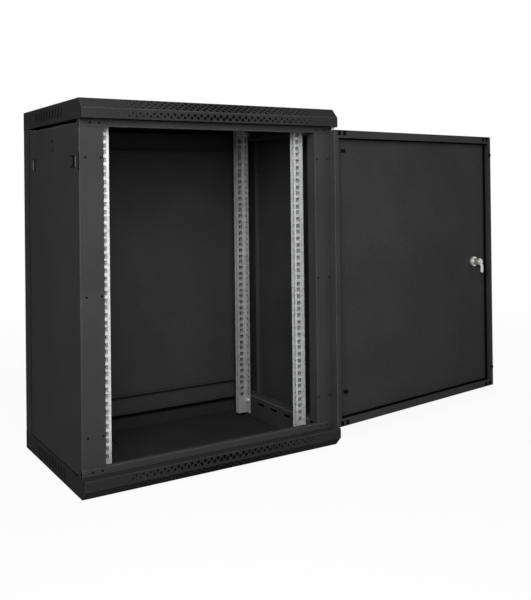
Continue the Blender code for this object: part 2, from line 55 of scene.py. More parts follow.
scene = bpy.context.scene
camera_data = bpy.data.cameras.new("photo_camera")
camera_data.lens = LENS
camera_data.shift_x, camera_data.shift_y = LENS_SHIFT
camera_data.clip_end = FARTHEST_SEEN
camera = bpy.data.objects.new("photo_camera", camera_data)
aim = Euler((0, 0, -CAMERA_YAW)).to_matrix() @ Euler((math.pi / 2 + CAMERA_PITCH, 0, 0)).to_matrix()
camera.matrix_world = Matrix.Translation(CAMERA_PLACE) @ (
    aim @ Euler((0, 0, CAMERA_ROLL)).to_matrix()).to_4x4()
scene.collection.objects.link(camera)
scene.camera = camera
scene.view_settings.view_transform = "Standard"

# The studio: a pale floor that keeps the cabinet's shadow, a white surround, and soft lamps. The main
# lamp stands above the camera, so that the front is lighter than the side and the lips cast shadows.
MM = 0.001
WHITE = (1, 1, 1, 1)
FLOOR_REACH = 9.0
FLOOR_DROP = 1 * MM
FLOOR_WHITE = 0.45
FLOOR_GLOW = 0.93
SHADOW_REACH = (1.0, 3.0)
SURROUND_LIGHT = 0.20
# Each lamp has its name, place, target, size in metres and power in watts.
LAMPS = (("front_lamp", (-0.60, -1.22, 1.12), (0.0, -0.2, 0.45), 0.9, 41.0),
         ("right_lamp", (1.7, -1.8, 1.3), (0.5, -0.2, 0.40), 1.0, 16.0),
         ("top_lamp", (0.3, 0.3, 3.0), (0.0, 0.0, 0.40), 1.6, 4.0),
         ("rear_lamp", (1.4, 3.2, 1.7), (0.0, 0.0, 0.40), 1.6, 80.0))
WHOLE_RANGE = (0.0, 1.0)


def fit_node(tree, kind, sockets=None, **settings):
    """A new node with its settings made, and its sockets set or linked."""
    made = tree.nodes.new(kind)
    for name, value in settings.items():
        setattr(made, name, value)
    for name, value in (sockets or {}).items():
        if isinstance(value, bpy.types.NodeSocket):
            tree.links.new(value, made.inputs[name])
        else:
            made.inputs[name].default_value = value
    return made


def sums(tree, operation, *values):
    """The result of one sum on numbers or sockets."""
    return fit_node(tree, "ShaderNodeMath", dict(enumerate(values)), operation=operation).outputs[0]


def mapped(tree, value, given, wanted):
    """A value carried over from one range to another."""
    return fit_node(tree, "ShaderNodeMapRange", {
        "Value": value, "From Min": given[0], "From Max": given[1],
        "To Min": wanted[0], "To Max": wanted[1]}).outputs[0]


def own_place(tree):
    """The spot on the piece itself, in metres."""
    return fit_node(tree, "ShaderNodeTexCoord").outputs["Object"]


def new_finish(name):
    """A new material and its empty tree."""
    finish = bpy.data.materials.new(name)
    finish.use_nodes = True
    finish.node_tree.nodes.clear()
    return finish, finish.node_tree


def seen_directly(tree):
    """One for rays from the camera or off metal, nought for the light that falls on things."""
    path = fit_node(tree, "ShaderNodeLightPath").outputs
    either = sums(tree, "MAXIMUM", path["Is Camera Ray"], path["Is Glossy Ray"])
    return sums(tree, "MAXIMUM", either, path["Is Transmission Ray"])


surround = bpy.data.worlds.new("white_surround")
surround.use_nodes = True
tree = surround.node_tree
tree.nodes.clear()
brightness = mapped(tree, seen_directly(tree), WHOLE_RANGE, (SURROUND_LIGHT, 1.0))
light = fit_node(tree, "ShaderNodeBackground", {"Color": WHITE, "Strength": brightness})
fit_node(tree, "ShaderNodeOutputWorld", {"Surface": light.outputs[0]})
scene.world = surround

floor_paint, tree = new_finish("floor_paint")
lit = fit_node(tree, "ShaderNodeBsdfDiffuse", {"Color": (FLOOR_WHITE, FLOOR_WHITE, FLOOR_WHITE, 1)})
glow = fit_node(tree, "ShaderNodeEmission", {"Color": WHITE, "Strength": 1.0})
away = fit_node(tree, "ShaderNodeVectorMath", {0: own_place(tree)}, operation="LENGTH")
fade = mapped(tree, away.outputs["Value"], SHADOW_REACH, (FLOOR_GLOW, 1.0))
share = sums(tree, "MULTIPLY", seen_directly(tree), fade)
floor_mix = fit_node(tree, "ShaderNodeMixShader", {0: share, 1: lit.outputs[0], 2: glow.outputs[0]})
fit_node(tree, "ShaderNodeOutputMaterial", {"Surface": floor_mix.outputs[0]})

floor_mesh = bpy.data.meshes.new("studio_floor")
floor_mesh.from_pydata([(x * FLOOR_REACH, y * FLOOR_REACH, -FLOOR_DROP)
                        for x, y in ((-1, -1), (1, -1), (1, 1), (-1, 1))], [], [(0, 1, 2, 3)])
floor_mesh.materials.append(floor_paint)
studio_floor = bpy.data.objects.new("studio_floor", floor_mesh)
scene.collection.objects.link(studio_floor)

for name, place, target, size, power in LAMPS:
    lamp = bpy.data.lights.new(name, "AREA")
    lamp.size = size
    lamp.energy = power
    holder = bpy.data.objects.new(name, lamp)
    turn = (Vector(target) - Vector(place)).to_track_quat("-Z", "Y")
    holder.matrix_world = Matrix.Translation(place) @ turn.to_matrix().to_4x4()
    scene.collection.objects.link(holder)

# The bottom and the top cover are trays folded from steel sheet and powder coated black. Their front
# edge is chamfered, and rows of punched holes grow towards the middle of the front and of the chamfer.
COAT_COLOUR = (0.026, 0.026, 0.026)
# The folded edges turn towards this lighter colour, partly rubbed wear and partly a painted highlight
# along the folds.
COAT_WORN_AND_HIGHLIT = (0.046, 0.046, 0.046)
# The covers and their plates take a darker copy of the same coat. The extra darkness is painted shade,
# and the copy's folds are lighter, partly wear and partly a painted highlight.
COVER_PAINTED_SHADE_COLOUR = (0.0160, 0.0160, 0.0160)
COVER_SHADED_WORN_AND_HIGHLIT = (0.028, 0.028, 0.028)
COAT_FLECKS = (0.66, 1.36)
COAT_CLOUDS = (0.90, 1.10)
COAT_GLOSS = (0.50, 0.64)
COAT_SHINE = 0.004
EDGE_WORN_AND_HIGHLIT_NOISE = (0.35, 0.65)
EDGE_WORN_AND_HIGHLIT_PATCHES = (0.35, 1.0)
NOISE_MIDDLE = (0.30, 0.70)
BEND_RADIUS = 1.2 * MM
BEND_STEPS = 3
THIN_FACE = 3 * MM
BEND_ANGLE = math.radians(20)
SHARP_ANGLE = math.radians(40)
FLAT_ANGLE = math.radians(0.5)
SAME_SPOT = 0.001 * MM
RIM_DEPTH = 0.05 * MM

ROW_INPUTS = (("Rows", "Int"), ("Columns", "Int"), ("Pitch", "Float"), ("Row Gap", "Float"),
              ("Turn", "Vector"), ("Centre", "Vector"), ("Finish", "Material"))
FACING_FRONT = (math.pi / 2, 0.0, 0.0)
PUNCH_SIDES = 12
HOLE_PITCH = 15 * MM
HOLE_COLUMNS = 29
HOLE_SPREAD_CENTRE = 6 * MM
FRONT_ROWS = 2
FRONT_ROW_GAP = 5.3 * MM
FRONT_ROWS_DOWN = 0.55
CHAMFER_ROWS = 4
CHAMFER_ROW_GAP = 5.9 * MM
HOLE_AT_ENDS = 3.8 * MM
HOLE_AT_MIDDLE = 8.3 * MM
HOLE_DEPTH = 6 * MM
COVER_FRONT_HIGH = 20 * MM
COVER_CHAMFER = (19 * MM, 20 * MM)


def noise(tree, at, scale, detail):
    """Soft noise over a piece."""
    return fit_node(tree, "ShaderNodeTexNoise", {
        "Vector": at, "Scale": scale, "Detail": detail}).outputs[0]


def blend(tree, share, first, second):
    """A colour between two others."""
    return fit_node(tree, "ShaderNodeMix", {"Factor": share, 6: (*first, 1), 7: (*second, 1)},
                    data_type="RGBA").outputs[2]


def bump(tree, height, strength, depth, **below):
    """A small relief, on top of another where one is given."""
    return fit_node(tree, "ShaderNodeBump", {
        "Height": height, "Strength": strength, "Distance": depth, **below}).outputs[0]


def skin(tree, tone, roughness, relief, constants):
    """Ends a finish with its shader."""
    shader = fit_node(tree, "ShaderNodeBsdfPrincipled", {
        "Base Color": tone, "Roughness": roughness, "Normal": relief, **constants})
    fit_node(tree, "ShaderNodeOutputMaterial", {"Surface": shader.outputs[0]})


def powder_coat(name, colour=COAT_COLOUR, worn_and_highlit=COAT_WORN_AND_HIGHLIT):
    """Black powder coat: fine orange peel, faint clouding, and folded edges lighter in patches, partly
    rubbed wear and partly a painted highlight.
    """
    coat, tree = new_finish(name)
    at = own_place(tree)
    peel = noise(tree, at, scale=620.0, detail=3.0)
    grain = noise(tree, at, scale=780.0, detail=2.0)
    cloud = noise(tree, at, scale=7.0, detail=5.0)
    edge_patch_noise = noise(tree, at, scale=55.0, detail=4.0)
    shade = sums(tree, "MULTIPLY", mapped(tree, grain, NOISE_MIDDLE, COAT_FLECKS),
                 mapped(tree, cloud, NOISE_MIDDLE, COAT_CLOUDS))
    # Folded edges are lightened in patches: partly wear, partly a painted highlight.
    edge = fit_node(tree, "ShaderNodeAttribute", attribute_name="worn_and_highlit").outputs["Fac"]
    edge_worn_and_highlit = sums(tree, "MULTIPLY", edge, mapped(tree, edge_patch_noise, EDGE_WORN_AND_HIGHLIT_NOISE, EDGE_WORN_AND_HIGHLIT_PATCHES))
    tone = fit_node(tree, "ShaderNodeVectorMath", {0: blend(tree, edge_worn_and_highlit, colour, worn_and_highlit), 1: shade},
                    operation="MULTIPLY").outputs[0]
    coarse = bump(tree, peel, strength=0.25, depth=0.20 * MM)
    fine = bump(tree, grain, strength=0.20, depth=0.06 * MM, Normal=coarse)
    skin(tree, tone, mapped(tree, peel, NOISE_MIDDLE, COAT_GLOSS), fine,
         {"Specular IOR Level": COAT_SHINE})
    return coat


def face_width(face):
    return 2 * face.calc_area() / face.calc_perimeter()


def is_bend(edge):
    """A fold of the sheet: an outward edge between two faces that are both wider than the sheet."""
    return (len(edge.link_faces) == 2 and edge.is_convex and edge.calc_face_angle() > BEND_ANGLE
            and all(face_width(face) > THIN_FACE for face in edge.link_faces))


def plain(piece):
    """Works a piece's modifiers into a plain mesh."""
    ready = piece.evaluated_get(bpy.context.evaluated_depsgraph_get())
    mesh = bpy.data.meshes.new_from_object(ready)
    piece.modifiers.clear()
    piece.data = mesh
    return piece


def made_up(name, shape, *finishes):
    """The object of a worked shape, in its finish; the shape is used up."""
    mesh = bpy.data.meshes.new(name)
    shape.to_mesh(mesh)
    shape.free()
    for finish in finishes:
        mesh.materials.append(finish)
    piece = bpy.data.objects.new(name, mesh)
    scene.collection.objects.link(piece)
    return piece


def dress(piece, body, slot, *nodes):
    """Lets a finished piece ride on its body and stand for its CAD nodes."""
    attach(piece, body)
    if nodes:
        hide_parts(*nodes)


def punched(piece, punches):
    """A piece with its holes punched; the punches are used up."""
    cutter = piece.modifiers.new("punches", "BOOLEAN")
    cutter.operation = "DIFFERENCE"
    cutter.solver = "EXACT"
    cutter.object = punches
    plain(piece)
    bpy.data.objects.remove(punches)
    return piece


def closed(piece):
    """A piece with the small gaps closed that rounding leaves where three folds meet."""
    shape = bmesh.new()
    shape.from_mesh(piece.data)
    gaps = [edge for edge in shape.edges if edge.is_boundary]
    if gaps:
        bmesh.ops.edgeloop_fill(shape, edges=gaps)
        bmesh.ops.recalc_face_normals(shape, faces=shape.faces)
        shape.to_mesh(piece.data)
    shape.free()
    return piece


def softened(name, node, finish, bend=BEND_RADIUS, punches=None, rim=None):
    """A CAD piece with its folds rounded and its holes punched; a rim keeps its edges as they are."""
    shape = bmesh.new()
    shape.from_mesh(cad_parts[node].data)
    bmesh.ops.remove_doubles(shape, verts=shape.verts, dist=SAME_SPOT)
    inside = [edge for edge in shape.edges
              if rim is None or any(abs(end.co.z - rim) > RIM_DEPTH for end in edge.verts)]
    bmesh.ops.dissolve_limit(shape, angle_limit=FLAT_ANGLE, verts=shape.verts, edges=inside)
    worn_and_highlit = shape.faces.layers.float.new("worn_and_highlit")
    bends = [edge for edge in shape.edges if is_bend(edge)]
    if bend > 0 and bends:
        made = bmesh.ops.bevel(shape, geom=bends, offset=bend, segments=BEND_STEPS, profile=0.5,
                               affect="EDGES", offset_type="OFFSET", clamp_overlap=False)
        # The rounded folds are marked for the lighter edge colour, partly wear and partly a painted
        # highlight.
        for face in made["faces"]:
            face[worn_and_highlit] = 1.0
    for face in shape.faces:
        face.material_index = 0
        face.smooth = True
    piece = made_up(name, shape, finish)
    if "custom_normal" in piece.data.attributes:
        piece.data.attributes.remove(piece.data.attributes["custom_normal"])
    if punches:
        punched(piece, punches)
    closed(piece)
    piece.data.set_sharp_from_angle(angle=SHARP_ANGLE)
    piece.modifiers.new("flat_faces", "WEIGHTED_NORMAL").keep_sharp = True
    return plain(piece)


def start_rows(name, *sizes):
    """A Geometry Nodes tree, the sockets of its inputs, its width and height, and its grid of points."""
    tree = bpy.data.node_groups.new(name, "GeometryNodeTree")
    for title, kind in ROW_INPUTS + sizes:
        tree.interface.new_socket(name=title, in_out="INPUT", socket_type="NodeSocket" + kind)
    tree.interface.new_socket(name="Pieces", in_out="OUTPUT", socket_type="NodeSocketGeometry")
    given = fit_node(tree, "NodeGroupInput").outputs
    across, up = [sums(tree, "MULTIPLY", sums(tree, "SUBTRACT", given[count], 1.0), given[gap])
                  for count, gap in (("Columns", "Pitch"), ("Rows", "Row Gap"))]
    grid = fit_node(tree, "GeometryNodeMeshGrid", {
        "Size X": across, "Size Y": up, "Vertices X": given["Columns"], "Vertices Y": given["Rows"]})
    return tree, given, across, up, grid.outputs["Mesh"]


def end_rows(tree, given, points, **part):
    """Ends a tree with a part on every point, set in place, made real and given its finish."""
    rows = fit_node(tree, "GeometryNodeInstanceOnPoints", {"Points": points, **part})
    in_place = fit_node(tree, "GeometryNodeTransform", {
        "Geometry": rows.outputs[0], "Translation": given["Centre"], "Rotation": given["Turn"]})
    real = fit_node(tree, "GeometryNodeRealizeInstances", {"Geometry": in_place.outputs[0]})
    coloured = fit_node(tree, "GeometryNodeSetMaterial", {
        "Geometry": real.outputs[0], "Material": given["Finish"]})
    fit_node(tree, "NodeGroupOutput", {"Pieces": coloured.outputs[0]})
    return tree


def punch_tree():
    """Rows of round punches, staggered, that grow from both ends towards the middle."""
    tree, given, across, up, grid = start_rows(
        "punch_rows", ("End Diameter", "Float"), ("Middle Diameter", "Float"), ("Depth", "Float"),
        ("Twist", "Float"), ("Sides", "Int"))
    spot = fit_node(tree, "GeometryNodeInputPosition").outputs[0]
    place = fit_node(tree, "ShaderNodeSeparateXYZ", {0: spot}).outputs
    height = sums(tree, "ADD", place["Y"], sums(tree, "MULTIPLY", up, 0.5))
    row = sums(tree, "ROUND", sums(tree, "DIVIDE", height, given["Row Gap"]))
    step = sums(tree, "MULTIPLY", sums(tree, "FLOORED_MODULO", row, 2.0),
                sums(tree, "MULTIPLY", given["Pitch"], 0.5))
    shift = fit_node(tree, "ShaderNodeCombineXYZ", {"X": step})
    points = fit_node(tree, "GeometryNodeSetPosition", {"Geometry": grid, "Offset": shift.outputs[0]})
    half = sums(tree, "MAXIMUM", sums(tree, "MULTIPLY", across, 0.5), MM)
    far = sums(tree, "MINIMUM", sums(tree, "DIVIDE", sums(tree, "ABSOLUTE", place["X"]), half), 1.0)
    wide = mapped(tree, far, WHOLE_RANGE, (given["Middle Diameter"], given["End Diameter"]))
    size = fit_node(tree, "ShaderNodeCombineXYZ", {"X": wide, "Y": wide, "Z": given["Depth"]})
    punch = fit_node(tree, "GeometryNodeMeshCylinder", {
        "Vertices": given["Sides"], "Radius": 0.5, "Depth": 1.0})
    twist = fit_node(tree, "ShaderNodeCombineXYZ", {"Z": given["Twist"]})
    return end_rows(tree, given, points.outputs[0], Instance=punch.outputs["Mesh"],
                    Scale=size.outputs[0], Rotation=twist.outputs[0])


def grown(name, tree, **sizes):
    """The plain mesh object that a Geometry Nodes tree makes from the sizes given."""
    made = bpy.data.objects.new(name, bpy.data.meshes.new(name))
    scene.collection.objects.link(made)
    growth = made.modifiers.new(name, "NODES")
    growth.node_group = tree
    sizes.setdefault("sides", PUNCH_SIDES)
    for socket in tree.interface.items_tree:
        wanted = socket.name.lower().replace(" ", "_")
        if socket.in_out == "INPUT" and wanted in sizes:
            growth[socket.identifier] = sizes[wanted]
    return plain(made)


def joined(name, parts):
    """Several mesh objects as one."""
    shape = bmesh.new()
    for part in parts:
        shape.from_mesh(part.data)
    whole = made_up(name, shape, *parts[0].data.materials)
    for part in parts:
        bpy.data.objects.remove(part)
    return whole


def cover_front(level):
    """A cover's box, which way its chamfer goes, the height of that bend, and the chamfer's middle."""
    low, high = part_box(level + "_cover")
    up = 1 if level == "top" else -1
    bend_z = high.z - COVER_FRONT_HIGH if up > 0 else low.z + COVER_FRONT_HIGH
    slope = Vector((0, low.y + COVER_CHAMFER[0] / 2, bend_z + up * COVER_CHAMFER[1] / 2))
    return low, high, up, bend_z, slope


coat = powder_coat("black_powder_coat")
# The covers' darker copy of the coat is painted shade.
cover_coat_painted_shade = powder_coat("cover_powder_coat", COVER_PAINTED_SHADE_COLOUR, COVER_SHADED_WORN_AND_HIGHLIT)
punch_rows = punch_tree()
chamfer_tilt = math.atan2(COVER_CHAMFER[0], COVER_CHAMFER[1])
growing = dict(columns=HOLE_COLUMNS, pitch=HOLE_PITCH, end_diameter=HOLE_AT_ENDS,
               middle_diameter=HOLE_AT_MIDDLE, depth=HOLE_DEPTH, finish=cover_coat_painted_shade)

for level in ("bottom", "top"):
    low, high, up, bend_z, slope = cover_front(level)
    rows_z = bend_z - up * COVER_FRONT_HIGH * FRONT_ROWS_DOWN
    holes = [grown("front_punches", punch_rows, rows=FRONT_ROWS, row_gap=FRONT_ROW_GAP,
                   turn=FACING_FRONT, centre=(HOLE_SPREAD_CENTRE, low.y, rows_z), **growing),
             grown("chamfer_punches", punch_rows, rows=CHAMFER_ROWS, row_gap=CHAMFER_ROW_GAP,
                   turn=(math.pi / 2 - up * chamfer_tilt, 0.0, 0.0),
                   centre=(HOLE_SPREAD_CENTRE, slope.y, slope.z), **growing)]
    cover = softened(level + "_cover_tray", level + "_cover", cover_coat_painted_shade,
                     punches=joined(level + "_cover_punches", holes), rim=low.z if up > 0 else high.z)
    dress(cover, "cabinet", "powder_coat", level + "_cover")

# Strips of near-black foam stand behind the punched holes and the side vents of both covers, as painted
# shade that keeps the holes and vents dark. They are cut from open-cell sheet and pressed in between the
# cover's faces, and a narrow one lies along the joint with the rear frame as a painted shade line.
PAINTED_SHADE_FOAM_COLOUR = (0.0016, 0.0016, 0.0016)
FOAM_CELL = 1.4 * MM
FOAM_THICK = 4 * MM
FOAM_ROOM = 2 * MM
FOAM_SUNK = 0.4 * MM
FOAM_EDGE = 0.1 * MM
FOAM_HALF_WIDTH = 0.240
FOAM_SIDE_ENDS = (-0.150, 0.185)
REAR_SEAL = (7 * MM, 6 * MM)
REAR_SEAL_HALF = 0.297
REAR_SEAL_BACK = 2 * MM
JOINT_GAP = 0.26 * MM
MOULDED_SHINE = 0.003
MOULDED_ROUGHER = (-0.06, 0.08)
CLOUD_LIGHTER = 1.5
BURR = 0.25 * MM
BURR_STEPS = 2


def moulded(name, colour, roughness, grain_size):
    """A dull black finish with a fine even texture: plastic, rubber, and the near-black foam and oxide
    that stand as painted shade.
    """
    stuff, tree = new_finish(name)
    at = own_place(tree)
    grain = noise(tree, at, scale=1 / grain_size, detail=2.0)
    cloud = noise(tree, at, scale=60.0, detail=3.0)
    tone = blend(tree, cloud, colour, [CLOUD_LIGHTER * part for part in colour])
    rough = mapped(tree, grain, NOISE_MIDDLE, [roughness + change for change in MOULDED_ROUGHER])
    skin(tree, tone, rough, bump(tree, grain, strength=0.3, depth=0.08 * MM),
         {"Specular IOR Level": MOULDED_SHINE})
    return stuff


def blocks(name, boxes, finish, edge=BURR):
    """One mesh of plain blocks with broken edges, each given by its two ends along each axis."""
    shape = bmesh.new()
    for box in boxes:
        size = [abs(end - start) for start, end in box]
        middle = [(start + end) / 2 for start, end in box]
        bmesh.ops.create_cube(shape, size=1,
                              matrix=Matrix.Translation(middle) @ Matrix.Diagonal((*size, 1)))
    made = bmesh.ops.bevel(shape, geom=shape.edges[:], offset=edge, segments=BURR_STEPS, profile=0.5,
                           affect="EDGES", offset_type="OFFSET")
    # The broken edges are marked for the lighter edge colour, partly wear and partly a painted
    # highlight.
    worn_and_highlit = shape.faces.layers.float.new("worn_and_highlit")
    for face in made["faces"]:
        if face.is_valid:
            face[worn_and_highlit] = 1.0
    return made_up(name, shape, finish)


# This near-black foam is painted shade, in the covers, the side seams and under the door's lips.
painted_shade_foam = moulded("black_filter_foam", PAINTED_SHADE_FOAM_COLOUR, roughness=0.9, grain_size=FOAM_CELL)
full_width = (-FOAM_HALF_WIDTH, FOAM_HALF_WIDTH)
half_slope = math.hypot(*COVER_CHAMFER) / 2 - FOAM_ROOM

for level in ("bottom", "top"):
    low, high, up, bend_z, slope = cover_front(level)
    strips = [(full_width, (low.y + FOAM_SUNK, low.y + FOAM_SUNK + FOAM_THICK),
               (bend_z - up * FOAM_ROOM, bend_z - up * (COVER_FRONT_HIGH - FOAM_ROOM)))]
    for outer, inward in ((low.x, 1), (high.x, -1)):
        strips.append(((outer + inward * FOAM_SUNK, outer + inward * (FOAM_SUNK + FOAM_THICK)),
                       FOAM_SIDE_ENDS, (low.z + FOAM_ROOM, high.z - FOAM_ROOM)))
    joint = low.z if up > 0 else high.z
    back = high.y - REAR_SEAL_BACK
    strips.append(((-REAR_SEAL_HALF, REAR_SEAL_HALF), (back - REAR_SEAL[0], back),
                   (joint - up * JOINT_GAP, joint + up * REAR_SEAL[1])))
    straight = blocks("straight_foam", strips, painted_shade_foam, FOAM_EDGE)
    slanted = blocks("slanted_foam", [(full_width, (FOAM_SUNK, FOAM_SUNK + FOAM_THICK),
                                       (-half_slope, half_slope))], painted_shade_foam, FOAM_EDGE)
    slanted.data.transform(Matrix.Translation(slope) @ Matrix.Rotation(-up * chamfer_tilt, 4, "X"))
    dress(joined(level + "_cover_filter", [straight, slanted]), "cabinet", "black_plastic")

# Flat steel plates close the cable openings in both covers and the fan opening in the top one. They
# are cut from the same coated sheet, lie against the inside of the cover and are held by small screws.
SCREW_HEAD = 5.6 * MM
SCREW_PROUD = 0.9 * MM
SCREW_INSET = 5 * MM
SCREW_DOME = (20, 8)
PLATE_SCREWS = (2, 3)
SCREW_COLOUR = (0.011, 0.011, 0.011)
# The cross recess is given in shares of the head: its length, width and depth, and its middle.
CROSS_LENGTH = 0.56
CROSS_WIDTH = 0.15
CROSS_DEEP = 0.6
CROSS_MIDDLE = (0.0, 0.0, 0.5)


def screw_tree():
    """Rows of low domed screw heads with a cross recess."""
    tree, given, *_, grid = start_rows("screw_rows", ("Head Diameter", "Float"), ("Proud", "Float"))
    head = fit_node(tree, "GeometryNodeMeshUVSphere", {
        "Segments": SCREW_DOME[0], "Rings": SCREW_DOME[1], "Radius": 0.5}).outputs["Mesh"]
    for along, across in ((CROSS_LENGTH, CROSS_WIDTH), (CROSS_WIDTH, CROSS_LENGTH)):
        bar = fit_node(tree, "GeometryNodeMeshCube", {"Size": (along, across, CROSS_DEEP)})
        lifted = fit_node(tree, "GeometryNodeTransform", {
            "Geometry": bar.outputs["Mesh"], "Translation": CROSS_MIDDLE})
        head = fit_node(tree, "GeometryNodeMeshBoolean", {"Mesh 1": head, "Mesh 2": lifted.outputs[0]},
                        operation="DIFFERENCE", solver="EXACT").outputs["Mesh"]
    size = fit_node(tree, "ShaderNodeCombineXYZ", {
        "X": given["Head Diameter"], "Y": given["Head Diameter"], "Z": given["Proud"]})
    return end_rows(tree, given, grid, Instance=head, Scale=size.outputs[0])


screw_rows = screw_tree()
black_screw = moulded("blackened_screw", SCREW_COLOUR, roughness=0.4, grain_size=0.7 * MM)
# The plates take the covers' darker copy of the coat, which is painted shade.
for node, face in (("bottom_cable_plate", None), ("top_cable_plate", "top_cover"),
                   ("fan_blank_plate", "top_cover")):
    dress(softened(node + "_sheet", node, cover_coat_painted_shade, bend=0), "cabinet", "powder_coat", node)
    low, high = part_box(node)
    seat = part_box(face)[1].z if face else high.z
    screws = grown(node + "_screws", screw_rows, rows=PLATE_SCREWS[0], columns=PLATE_SCREWS[1],
                   turn=(0.0, 0.0, 0.0),
                   pitch=(high.x - low.x) / 2 - SCREW_INSET, row_gap=high.y - low.y - 2 * SCREW_INSET,
                   head_diameter=SCREW_HEAD, proud=2 * SCREW_PROUD, finish=black_screw,
                   centre=((low.x + high.x) / 2, (low.y + high.y) / 2, seat))
    dress(screws, "cabinet", "black_plastic")

# The front frame is two folded crossbars and two folded pillars, welded into a ring and coated with
# the rest. Small screw holes stand in pairs along the pillars and at the crossbars' ends, and a narrow
# edge fold closes each pillar against its side panel.
SIDES = (("left", -1), ("right", 1))
SCREW_HOLE = 4.8 * MM
SCREW_HOLE_DEPTH = 8 * MM
NUT_SIZE = (7.5 * MM, 2.5 * MM)
PAINTED_SHADE_BLACK_COLOUR = (0.002, 0.002, 0.002)
FRAME_SHEET = 1.5 * MM
PILLAR_HOLES_X = (0.2555, 0.2860)
PILLAR_HOLES_APART = 0.270
CROSSBAR_HOLES_X = (0.2575, 0.2765)
EDGE_FOLD_DEEP = 1.3 * MM
EDGE_FOLD_END = 0.29985
EDGE_FOLD_BURR = 0.15 * MM
LATCH_ROOM = (0.630, 0.666)
SINGLE_ROW = dict(rows=1, row_gap=1.0)

# This near-black finish is painted shade: on the screw holes' nuts, the latch recesses and studs, the
# side caps' backing, the keyway's foot and the door's slots.
painted_shade_black = moulded("black_oxide", PAINTED_SHADE_BLACK_COLOUR, roughness=0.6, grain_size=0.6 * MM)
nuts = []


def even(diameter):
    return dict(end_diameter=diameter, middle_diameter=diameter)


def outer_x(node, sign):
    """Where a piece ends towards the left (-1) or the right (1)."""
    low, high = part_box(node)
    return high.x if sign > 0 else low.x


def screw_holes(columns, heights, front):
    """Pairs of screw holes through a front face at the given heights, each with a near-black blind nut
    behind, painted shade inside the hole.
    """
    pair = dict(columns=2, pitch=abs(columns[1] - columns[0]), turn=FACING_FRONT, **SINGLE_ROW)
    middle = (columns[0] + columns[1]) / 2
    behind = front + FRAME_SHEET + NUT_SIZE[1] / 2
    for z in heights:
        nuts.append(grown("blind_nuts", punch_rows, depth=NUT_SIZE[1], centre=(middle, behind, z),
                          finish=painted_shade_black, **even(NUT_SIZE[0]), **pair))
    return [grown("screw_punches", punch_rows, depth=SCREW_HOLE_DEPTH, centre=(middle, front, z),
                  finish=coat, **even(SCREW_HOLE), **pair) for z in heights]


for side, sign in SIDES:
    node = "front_%s_pillar" % side
    low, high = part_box(node)
    middle = (low.z + high.z) / 2
    heights = [middle + step * PILLAR_HOLES_APART for step in (-1, 0, 1)]
    pairs = screw_holes([sign * x for x in PILLAR_HOLES_X], heights, low.y)
    dress(softened(node + "_fold", node, coat, punches=joined("pillar_punches", pairs)),
          "cabinet", "powder_coat", node)
    folds = [((outer_x(node, sign), sign * EDGE_FOLD_END), (low.y, low.y + EDGE_FOLD_DEEP), run)
             for run in ((low.z, LATCH_ROOM[0]), (LATCH_ROOM[1], high.z))]
    dress(blocks(node + "_edge", folds, coat, EDGE_FOLD_BURR), "cabinet", "powder_coat")
for level in ("bottom", "top"):
    node = "front_%s_crossbar" % level
    low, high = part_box(node)
    pairs = []
    for sign in (-1, 1):
        pairs += screw_holes([sign * x for x in CROSSBAR_HOLES_X], [(low.z + high.z) / 2], low.y)
    dress(softened(node + "_fold", node, coat, punches=joined("crossbar_punches", pairs)),
          "cabinet", "powder_coat", node)

dress(joined("frame_nuts", nuts), "cabinet", "black_plastic")

# The rear frame is two folded posts with the holes for hanging on a wall, two crossbars and a
# removable rear panel, all shallow pans of the same coated sheet. A near-black foam strip in the seam
# beside each side panel is a painted shade line.
POST_BEND = 2.2 * MM
REAR_SCREW_ROWS = 4
REAR_SCREW_INSET = 9 * MM
REAR_SCREW_PROUD = 0.5 * MM
FACING_BACK = (-math.pi / 2, 0.0, 0.0)
SEAM_IN = 1.0 * MM
SEAM_OUT = 0.15 * MM
SEAM_RUN = (0.1 * MM, 3.6 * MM)
SEAM_SHORT = 1 * MM

for node in ("rear_left_post", "rear_right_post", "rear_bottom_crossbar", "rear_top_crossbar",
             "rear_panel"):
    dress(softened(node + "_pan", node, coat, bend=POST_BEND), "cabinet", "powder_coat", node)

seams = []
for side, sign in SIDES:
    node = "rear_%s_post" % side
    low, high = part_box(node)
    outer = outer_x(node, sign)
    seams.append(((outer - sign * SEAM_IN, outer + sign * SEAM_OUT),
                  (low.y + SEAM_RUN[0], low.y + SEAM_RUN[1]), (low.z + SEAM_SHORT, high.z - SEAM_SHORT)))
# Near-black foam strips in the seam between each post and its side panel are a painted shade line.
dress(blocks("side_panel_seals", seams, painted_shade_foam, FOAM_EDGE), "cabinet", "rubber")

low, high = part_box("rear_panel")
screws = grown("rear_panel_screws", screw_rows, rows=REAR_SCREW_ROWS, columns=2, turn=FACING_BACK,
               pitch=high.x - low.x - 2 * REAR_SCREW_INSET,
               row_gap=(high.z - low.z - 2 * REAR_SCREW_INSET) / (REAR_SCREW_ROWS - 1),
               head_diameter=SCREW_HEAD, proud=2 * REAR_SCREW_PROUD, finish=black_screw,
               centre=((low.x + high.x) / 2, high.y, (low.z + high.z) / 2))
dress(screws, "cabinet", "black_plastic")

# Four slotted beams run from front to rear along the covers and carry the rails. They are channels of
# coated sheet with a row of small holes, and a deep return lip closes the far side of each channel.
BEAM_BEND = 2.4 * MM
BEAM_HOLE = 3.4 * MM
BEAM_HOLE_PITCH = 11 * MM
BEAM_HOLE_COLUMNS = 24
BEAM_HOLE_UP = 21 * MM
LIP_HEIGHT = 36 * MM
SEAL_HEIGHT = 52 * MM
SEAL_END = 0.150
FACING_SIDE = (math.pi / 2, 0.0, math.pi / 2)

